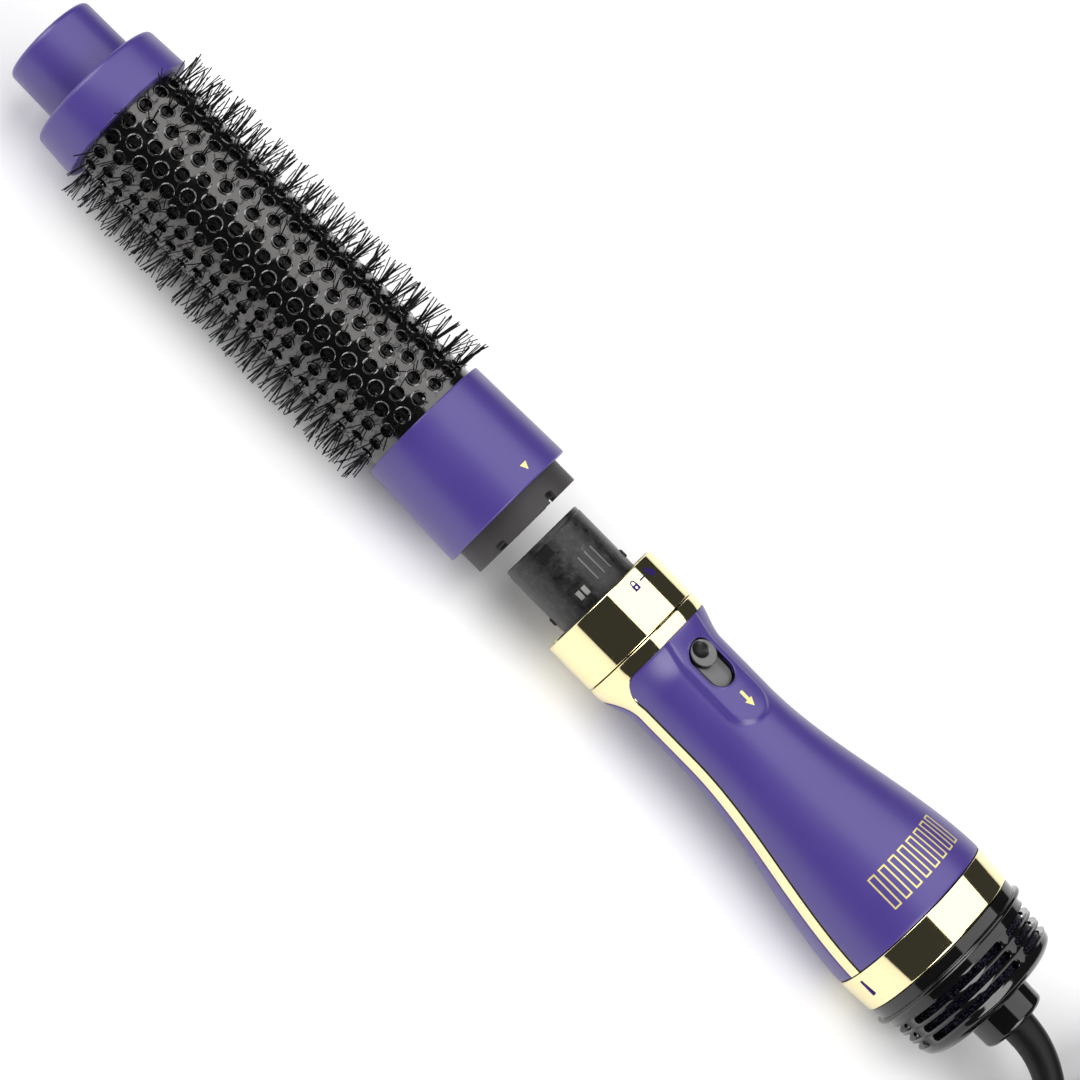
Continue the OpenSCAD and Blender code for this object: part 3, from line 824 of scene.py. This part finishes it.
def make_head_covers():
    cap = lathe("cool_tip", [
        (0, 0.02, 0), (0, TIP_R, 1.8), (TIP_CAP_END + 0.1, TIP_R + 0.3, 0), (TIP_CAP_END + 0.3, 17.3, 0.2),
        (24.4, 17.3, 0.2), (24.4, TIP_R - 2, 0), (2.4, TIP_R - 2, 0), (2.4, 0.02, 0)], "purple_soft", 8)
    place(cap, "head", "tip_cap")
    place(lathe("cool_tip_collar", [
        (TIP_CAP_END, 15.8, 0.3), (TIP_CAP_END, TIP_COLLAR_R - 0.8, 1.7), (BARREL_START, TIP_COLLAR_R, 0.6),
        (BARREL_START, BARREL_R + 0.1, 0.2), (30, BARREL_R + 0.1, 0), (30, 17.5, 0),
        (TIP_CAP_END + 0.4, 17.5, 0)], "purple_soft", 8), "head", "tip_collar")
    place(lathe("handle_side_collar", [
        (BARREL_END, BARREL_R + 0.1, 0.1), (BARREL_END, 21.4, 0.5), (158.5, 21.55, 2),
        (COLLAR_END, 22.5, 0.7), (COLLAR_END, SKIRT_R + 0.05, 0.2), (162, SKIRT_R + 0.05, 0),
        (162, 15, 0), (158.2, 15, 0), (158.2, BARREL_R + 0.1, 0)], "purple_soft", 6), "head", "lower_collar")


def make_skirt():
    """Black socket of the head, with the latch notch and the two bayonet slots at its edge."""
    skirt = lathe("head_socket_skirt", [
        (163, SKIRT_R - 1.4, 0), (163, SKIRT_R, 0), (HEAD_L, SKIRT_R, 0.35), (HEAD_L, SKIRT_R - 1.4, 0.3)],
        "skirt_plastic", 5)
    slots = [(LATCH_ANGLE, 5.8, 2.9)] + [(angle, 4.4, 3.5) for angle in LUG_ANGLES]
    for angle, length, width in slots:
        tool = radial_block("notch_cut", HEAD_L, angle, 17, 20, length, width, "skirt_plastic", 0.35)
        cut_with(skirt, tool)
    finish_mesh(skirt, 35)
    place(skirt, "head", "head_skirt")
    sleeve = lathe("head_socket_sleeve", [
        (162.1, SOCKET_R, 0), (162.1, 18.4, 0), (165, 18.4, 0.2), (165, 15.6, 0.2), (196, 15.6, 0.3),
        (196, SOCKET_R, 0.4)], "skirt_plastic", 4)
    for angle in KEY_ANGLES:
        cut_with(sleeve, radial_block("keyway_cut", 190.5, angle, 13, 14.95, 16, 4, "skirt_plastic", 0.1))
    finish_mesh(sleeve, 35)
    place(sleeve, "head")


# ---- Nozzle and lock ring ----

def radial_block(name, s, angle, r_low, r_high, length, width, material, corner=0.25):
    """A small block standing out from the axis, with bevelled edges."""
    outward = (at(s, angle, 2) - at(s, angle, 1)).normalized()
    along = Vector((1, 0, 0))
    return block(name, (length, width, r_high - r_low), corner, [along, outward.cross(along), outward],
                 at(s, angle, (r_low + r_high) / 2), material)


def make_nozzle():
    place(lathe("hot_air_nozzle", [
        (NOZZLE_START, 12.8, 0.3), (NOZZLE_START, NOZZLE_R - 0.25, 0.5),
        (NOZZLE_START + 1.6, NOZZLE_R - 0.2, 0.1), (NOZZLE_START + 1.9, NOZZLE_R, 0.1),
        (239.4, NOZZLE_R, 0), (239.4, 19.29, 0.2), (243, 19.29, 0.2), (243, NOZZLE_R, 0),
        (262, NOZZLE_R, 0.2), (262, 12.8, 0.2)], "nozzle_plastic", 4), "handle", "nozzle")
    for i, angle in enumerate(KEY_ANGLES):
        place(radial_block(f"nozzle_lug_{i}", 222, angle, 13.2, 14.55, 2.8, 3, "nozzle_plastic"), "handle")
    # The ribs take a lighter grey than the nozzle: painted highlights on their edges
    for i in range(3):
        angle = CAMERA_SIDE - math.radians(16 + 11 * i)
        rib = radial_block(f"nozzle_rib_{i}", 217.8, angle, 13.6, NOZZLE_R + 0.2, 9, 1.1, "rib_satin", 0.3)
        place(rib, "handle")
    # The contact pads take a lighter, duller copy of the steel: painted highlight
    for i, turn in enumerate((4, 13)):
        angle = CAMERA_SIDE + math.radians(turn)
        pad = radial_block(f"nozzle_contact_{i}", 221.8, angle, 13.5, 14.12, 2.8, 1.5, "contact_tin", 0.05)
        place(pad, "handle")
    place(radial_block("nozzle_recess_plate", 206.3, CAMERA_SIDE + math.radians(8), 13.5, 14.06, 4.2, 4.4,
        "black_plastic", 0.2), "handle")


def make_lock_ring():
    place(lathe("lock_ring_shell", [
        (RING_START, 19.35, 0.15), (RING_START, RING_R, 0.5), (RING_END, RING_R, 0.35),
        (RING_END, 19.35, 0.1)], "gold_plate", 6, sides=192), "lock_ring", "lock_ring")
    for i, angle in enumerate(LUG_ANGLES):
        lug = radial_block(f"lock_ring_lug_{i}", 232.65, angle, 18.35, 19.6, 0.8, 2.4, "gold_plate", 0.1)
        place(lug, "lock_ring")


# ---- Handle ----

def edge_stations(gap):
    """Stations along a shell's side edge and the edge's height over the middle plane, round at the neck."""
    start = SHELL_START + gap
    low = STRIP_HALF + gap
    out = []
    for k in range(13):
        turn = math.pi / 2 * k / 12
        out.append((start + CORNER_R * (1 - math.cos(turn)), low + CORNER_R * (1 - math.sin(turn))))
    s = start + CORNER_R + 0.7
    while s < SHELL_END - 0.8:
        out.append((s, low))
        s += 0.7 if s < PAD_END + 3 else 1.6
    return out + [(SHELL_END - 0.35, low), (SHELL_END, low)]


def pad_rise(s, y):
    """How far the raised tongue round the slider lifts the shell."""
    past = max(0.0, s - (PAD_END - PAD_HALF))
    d = math.hypot(past, y)
    return PAD_RISE * smooth((PAD_HALF + 0.7 - d) / 1.9)


def edge_drop(d, size=0.45):
    """The rounding of an edge: how far the surface is down at distance d from it."""
    if d >= size:
        return 0.0
    return size * (1 - math.sqrt(max(0.0, 1 - (1 - d / size) ** 2)))


def shell_grid(side, inner):
    gap = 0.08
    grid = []
    cuts = [0, 0.05, 0.13, 0.25, 0.45, 0.8]
    columns = 110
    for s, x_edge in edge_stations(gap):
        r = handle_r(s)
        half = math.acos(min(1.0, x_edge / r)) * r
        offsets = cuts + [0.8 + (2 * half - 1.6) * j / columns for j in range(1, columns)]
        offsets += [2 * half - c for c in reversed(cuts)]
        row = []
        for offset in offsets:
            angle = (offset - half) / r
            rise = pad_rise(s, r * math.sin(angle)) if side > 0 else 0.0
            d = min(offset, 2 * half - offset, s - SHELL_START - gap, SHELL_END - s + 0.12)
            radius = r - SHELL_WALL if inner else r + rise - edge_drop(d)
            row.append(at(s, angle if side > 0 else math.pi - angle, radius))
        grid.append(row)
    return grid


def stadium_outline(start, end, half, steps=16):
    """Round-ended slot in the plane of station and side."""
    out = []
    for centre, first in ((start + half, 90), (end - half, -90)):
        for k in range(steps + 1):
            turn = math.radians(first + 180 * k / steps)
            out.append((centre + half * math.cos(turn), half * math.sin(turn)))
    return out


def up_prism(name, outline, low, high):
    """An upright prism over an outline, to cut with."""
    points = [above(s, y, height) for height in (low, high) for s, y in outline]
    return new_object(name, points, ring_walls(2, len(outline), caps=True), "purple_soft")


def drawn_in(outline, start, end, half, inset):
    """A round-ended outline made smaller by that much all round."""
    k = 1 - inset / half
    out = []
    for s, y in outline:
        middle = min(max(s, start + half), end - half)
        out.append((middle + (s - middle) * k, y * k))
    return out


def make_shells():
    front = sheet_solid("front_cover", shell_grid(1, False), shell_grid(1, True), "purple_soft")
    window = stadium_outline(SLOT_S - SLOT_L / 2, SLOT_S + SLOT_L / 2, SLOT_W / 2)
    cut_with(front, up_prism("window_cut", window, 10, 25))
    pocket = [(249.5, -5.9), (283.3, -5.9), (283.3, 5.9), (249.5, 5.9)]
    cut_with(front, up_prism("pocket_cut", pocket, 10, 16))
    groove = [(SLOT_S, -4.2), (277.1, -4.2), (277.1, 4.2), (SLOT_S, 4.2)]
    cut_with(front, up_prism("groove_cut", groove, 10, TAIL_TOP + 0.2))
    finish_mesh(front, 38)
    place(front, "handle", "front_shell")
    rim = []
    for s, y in window + window[:1]:
        r = handle_r(s) + PAD_RISE - 0.16
        rim.append(at(s, math.asin(y / r), r))
    place(tube_along("window_bead", rim, [0.32 * MM] * len(rim), "purple_soft", 12), "handle")
    # Black sheet on the window's inner wall: painted shade
    make_window_shade_sheet(window)
    rear = sheet_solid("rear_cover", shell_grid(-1, False), shell_grid(-1, True), "purple_soft")
    for s in SCREW_S:
        cut_with(rear, up_prism("screw_cut", [(s + x, y) for x, y in circle(32, 1.6)], -30, -10))
    finish_mesh(rear, 38)
    place(rear, "handle", "rear_shell")


def make_window_shade_sheet(window):
    """Black sheet round the inside of the slider's window: painted shade on the window's wall."""
    start, end = SLOT_S - SLOT_L / 2, SLOT_S + SLOT_L / 2
    points = []
    for inset, low in ((0.02, False), (0.02, True), (0.4, True), (0.4, False)):
        for (s, y), (inner_s, inner_y) in zip(window, drawn_in(window, start, end, SLOT_W / 2, inset)):
            if low:
                # Over the slider's tail the wall stops short of it
                height = TAIL_TOP + 0.3 if s > SLOT_S + 3 else PLATE_TOP + 0.2
            else:
                height = math.sqrt((handle_r(s) + PAD_RISE) ** 2 - y * y) - 0.3
            points.append(above(inner_s, inner_y, height))
    faces = ring_walls(4, len(window), closed=True)
    place(new_object("window_painted_shade_sheet", points, faces, "gloss_black", 40), "handle")


def make_bars():
    """Printed row of slim outlined bars low on the front of the handle."""
    points, faces = [], []
    low, high = BAR_S - BAR_L / 2, BAR_S + BAR_L / 2
    half = BAR_W / 2
    inner = half - BAR_LINE
    lines = ((low, high, -half, -inner), (low, high, inner, half),
             (low, low + BAR_LINE, -inner, inner), (high - BAR_LINE, high, -inner, inner))
    for bar in range(BAR_COUNT):
        middle = CAMERA_SIDE + math.radians(1) - bar * BAR_TURN
        for start, end, left, right in lines:
            steps = 8 if end - start > 1 else 1
            faces += ring_walls(steps + 1, 4, len(points), caps=True)
            for s in spread(start, end, steps):
                r = handle_r(s)
                points += [at(s, middle + y / r, r + lift)
                           for y, lift in ((left, 0.06), (right, 0.06), (right, -0.1), (left, -0.1))]
    place(new_object("printed_bars", points, faces, "gold_print"), "handle")


def trim_strip(middle, stations, columns, points, faces):
    """One of the two strips that run on along the sides of the handle."""
    faces += sheet_faces(len(stations), columns + 1, len(points), ends=(-1,))
    for layer in (0, 1):
        for s, x_edge in stations:
            r = handle_r(s)
            half = math.asin(min(1.0, x_edge / r))
            for t in spread(-1, 1, columns):
                drop = edge_drop((1 - abs(t)) * half * r, 0.4) if s > SHELL_START + 0.3 else 0.0
                points.append(at(s, middle + half * t, r + 0.05 - (SHELL_WALL if layer else drop)))


def make_trim():
    """The bright neck shroud, which runs on as a strip along each side."""
    stations = edge_stations(0)
    first_half = math.asin(stations[0][1] / handle_r(stations[0][0]))
    strip_columns = 12
    rest_columns = 50
    turns = []
    for middle in (math.pi / 2, 3 * math.pi / 2):
        turns += [middle + first_half * t for t in spread(-1, 1, strip_columns)]
        turns += spread(middle + first_half, middle + math.pi - first_half, rest_columns)[1:-1]
    ring_s = [SHROUD_START + step for step in (0, 0.05, 0.15, 0.35, 0.7, 1.9, 2.8, 3.7)] + [SHELL_START]
    points, faces = [], []
    count = len(turns)
    for layer in (0, 1):
        faces += ring_walls(len(ring_s), count, len(points))
        for s in ring_s:
            r = handle_r(s) + 0.05 - (SHELL_WALL if layer else edge_drop(s - SHROUD_START, 0.5))
            points += [at(s, a, r) for a in turns]
    inside = len(ring_s) * count
    faces += join_rings(0, inside, count)
    # The ring's back edge is closed only where no strip leaves it
    for k, face in enumerate(join_rings(inside - count, 2 * inside - count, count)):
        if k % (strip_columns + rest_columns) >= strip_columns:
            faces.append(face)
    for middle in (math.pi / 2, 3 * math.pi / 2):
        trim_strip(middle, stations, strip_columns, points, faces)
    obj = new_object("bright_trim", points, faces, "gold_plate")
    finish_mesh(obj, 38, merge=1e-6)
    place(obj, "handle", "trim_frame")


def make_slider():
    """Plate under the shell, black as painted shade in the gap beside the tail, with a grey round-ended tail
    on it.
    """
    # The plate's black stands for the shade of the deep window round the tail: painted shade
    place(radial_block("slider_plate", PLATE_START + PLATE_L / 2, 0, 15.0, PLATE_TOP, PLATE_L, 11.2,
        "black_plastic", 0.3), "release")
    outline = stadium_outline(KNOB_S - 1, TAIL_END, TAIL_HALF, 24)
    points = []
    for inset, height in ((0, PLATE_TOP - 0.2), (0, TAIL_TOP - 0.3), (0.1, TAIL_TOP - 0.1), (0.3, TAIL_TOP)):
        smaller = drawn_in(outline, KNOB_S - 1, TAIL_END, TAIL_HALF, inset)
        points += [above(s, y, height) for s, y in smaller]
    faces = ring_walls(4, len(outline), caps=True)
    place(new_object("slider_tail", points, faces, "slider_grey", 50), "release")


def hollow_depth(away):
    """Depth of the round thumb hollow at that distance from its centre."""
    return max(0.0, math.sqrt(max(0.0, HOLLOW_R ** 2 - away ** 2)) - HOLLOW_RISE)


def upright_ring(middle_s, reach, height, sides=96):
    """A level ring of points round an upright axis that crosses the tool's own."""
    return [above(middle_s + x, y, height) for x, y in circle(sides, reach)]


def make_knob():
    """The slider's knob: grey with a thumb hollow in its top, a black band round its side as painted shadow,
    and a black sheet in the hollow as painted shade.
    """
    edge = 0.35
    points = []
    side = ((KNOB_R, PLATE_TOP - 0.2), (KNOB_R, KNOB_TOP - edge), (KNOB_R - 0.1, KNOB_TOP - 0.1))
    for reach, height in side:
        points += upright_ring(KNOB_S, reach, height)
    top_rings = 26
    for k in range(top_rings):
        ring = upright_ring(KNOB_S, (KNOB_R - edge) * (1 - k / top_rings), KNOB_TOP)
        for p in ring:
            away = math.hypot(p.x / MM + ORIGIN_S - KNOB_S - HOLLOW_S, p.y / MM)
            p.z -= hollow_depth(away) * MM
        points += ring
    faces = ring_walls(top_rings + 3, 96, caps=True)
    place(new_object("slider_knob", points, faces, "slider_grey", 30), "release", "release_slider")
    # Black band round the knob's side: painted shadow in the gap round the knob
    points = []
    for reach, height in ((KNOB_R - 0.3, TAIL_TOP + 0.1), (KNOB_R + 0.06, TAIL_TOP + 0.1),
                          (KNOB_R + 0.06, KNOB_TOP - 0.45), (KNOB_R - 0.3, KNOB_TOP - 0.45)):
        points += upright_ring(KNOB_S, reach, height)
    place(new_object("knob_painted_shadow_band", points, ring_walls(4, 96, closed=True), "black_plastic", 40), "release")
    # Black sheet lying in the thumb hollow: painted shade
    shade_sheet_r = math.sqrt(HOLLOW_R ** 2 - HOLLOW_RISE ** 2) - 0.25
    outwards = [shade_sheet_r * (k + 1) / 14 for k in range(14)]
    points = []
    for lift, reaches in ((0.04, outwards), (-0.12, outwards[::-1])):
        for reach in reaches:
            points += upright_ring(KNOB_S + HOLLOW_S, reach, KNOB_TOP - hollow_depth(reach) + lift, 48)
    place(new_object("knob_hollow_painted_shade", points, ring_walls(28, 48, caps=True), "black_plastic", 40), "release")


# ---- Tail ----

def make_selector():
    place(lathe("selector_ring_shell", [
        (SELECTOR_START, 25, 0.1), (SELECTOR_START, BASE_R, 0.35), (SELECTOR_END, BASE_R - 0.6, 0.6),
        (SELECTOR_END, 25, 0.1)], "gold_plate", 6, sides=192), "selector", "selector_ring")


def make_tail():
    hub = lathe("tail_band", [
        (349.5, 22.94, 0), (349.5, 24.94, 0.2), (TAIL_START, 24.94, 0), (TAIL_START, TAIL_R, 0.4),
        (FLANGE_START - 0.1, TAIL_R - 0.25, 0.3), (FLANGE_START, 27.6, 0.3), (FLANGE_START + 0.6, 27.95, 0.5),
        (GRILLE_START, 27.7, 0.5), (GRILLE_START, 22.94, 0)], "gloss_black", 5, sides=192)
    place(hub, "handle", "tail_hub")


def grille_r(s):
    """Outside radius of the inlet grille: a slight taper, then the round end."""
    if s < 384:
        return GRILLE_R - 0.8 * (s - GRILLE_START) / (384 - GRILLE_START)
    return GRILLE_R - 0.8


def make_slots():
    """Three rows of round-ended slots round the inlet cap, between ribs that stand a little proud."""
    half = GRILLE_SLOT_W / 2
    quarter = math.pi / 2
    inner_half = math.radians(41) - half / GRILLE_R
    # Half of a slot's outline: place along it, and which way its edge faces
    outline = [(u, 0, -1) for u in spread(-inner_half, inner_half, 40)]
    outline += [(inner_half, math.sin(turn), -math.cos(turn)) for turn in spread(0, math.pi, 10)[1:-1]]
    outline += [(-u, -out_u, -out_v) for u, out_u, out_v in outline]
    # How far past the slot's edge, and how high, None being the edge of the cell
    rings = [(None, 0.0), (0.32, 0.16), (0.12, 0.24), (0.0, 0.12), (0.0, -0.4), (0.0, -1.6)]
    points, faces = [], []
    for centre in (math.radians(45) + q * quarter for q in range(4)):
        for s in GRILLE_SLOTS:
            faces += ring_walls(len(rings), len(outline), len(points))
            for grow, height in rings:
                for u, out_u, out_v in outline:
                    if grow is None:
                        du = math.copysign(quarter / 2, out_u) if out_u else u
                        dv = out_v * GRILLE_PITCH / 2
                    else:
                        du = u + out_u * (half + grow) / GRILLE_R
                        dv = out_v * (half + grow)
                    points.append(at(s + dv, centre + du, grille_r(s + dv) + height))
    slots = new_object("inlet_slots", points, faces, "gloss_black")
    finish_mesh(slots, 40, merge=2e-6)
    place(slots, "handle")


def make_grille():
    """The inlet cap's front rim and its round end."""
    low = GRILLE_SLOTS[0] - GRILLE_PITCH / 2
    high = GRILLE_SLOTS[-1] + GRILLE_PITCH / 2
    place(lathe("inlet_front_rim", [
        (GRILLE_START, 23.9, 0), (GRILLE_START, GRILLE_R, 0.3), (low, grille_r(low), 0), (low, 24.0, 0)],
        "gloss_black", 4), "handle")
    place(lathe("inlet_dome", [
        (high, grille_r(high) - 1.6, 0), (high, grille_r(high), 0), (386.2, 24.3, 2.2), (388.1, 21.6, 3),
        (GRILLE_END, 15, 4), (GRILLE_END, 9, 0.3), (387.2, 9, 0.3), (387.2, 16, 2), (385.6, 22, 2)],
        "gloss_black", 8), "handle", "inlet_grille")


def make_filter():
    """Ribbed filter screen behind the slots."""
    ribs = [(s, 22.6 if k % 2 else 22.2, 0) for k, s in enumerate(spread(371, 384.5, 45))]
    screen = lathe("filter_screen", ribs + [(384.5, 21.7, 0), (371, 21.7, 0)], "mesh_dark", 1, sides=120)
    place(screen, "handle", "filter_mesh")


def make_gland():
    place(lathe("cord_gland", [
        (GLAND_START, 6.3, 0), (GLAND_START - 4.9, 6.3, 0), (GLAND_START - 4.9, 8.92, 0.2),
        (GLAND_START, 8.92, 0), (GLAND_START, GLAND_R, 0.4), (396.9, GLAND_R - 0.15, 1.1),
        (GLAND_END, GLAND_R - 1.2, 0.5), (GLAND_END, 6.3, 0.3)], "gloss_black", 6), "swivel", "swivel_gland")


def make_relief():
    """Tapered moulded sleeve that leaves the gland and follows the lead."""
    path = spline([row_point(*p) for p in ROUTE[:RELIEF_POINTS + 2]], 12)[:RELIEF_POINTS * 12 + 1]
    radii = []
    for t in spread(0, 1, len(path) - 1):
        collar = 0.22 if 0.13 < t < 0.18 else 0
        radii.append((5.85 - 1.7 * t + collar) * MM)
    radii[-1] = 3.75 * MM
    relief = tube_along("strain_relief_sleeve", path, radii, "cord_rubber", 40)
    place(relief, "handle", "strain_relief")
    return relief


make_camera()
make_stage()
cord = make_cord()
relief = make_relief()
plug = make_plug()
tie = make_tie()
make_barrel()
make_bristles()
make_carriers()
make_head_covers()
make_skirt()
make_nozzle()
make_lock_ring()
make_shells()
make_bars()
make_trim()
make_slider()
make_knob()
make_selector()
make_tail()
make_slots()
make_grille()
make_filter()
make_gland()


for node_name, node in frame["nodes"].items():
    slot_name = next(p["material_slot"] for p in frame["record"]["subparts"] if p["node"] == node_name)
    node.data.materials.clear()
    node.data.materials.append(MATERIALS[slot_name])
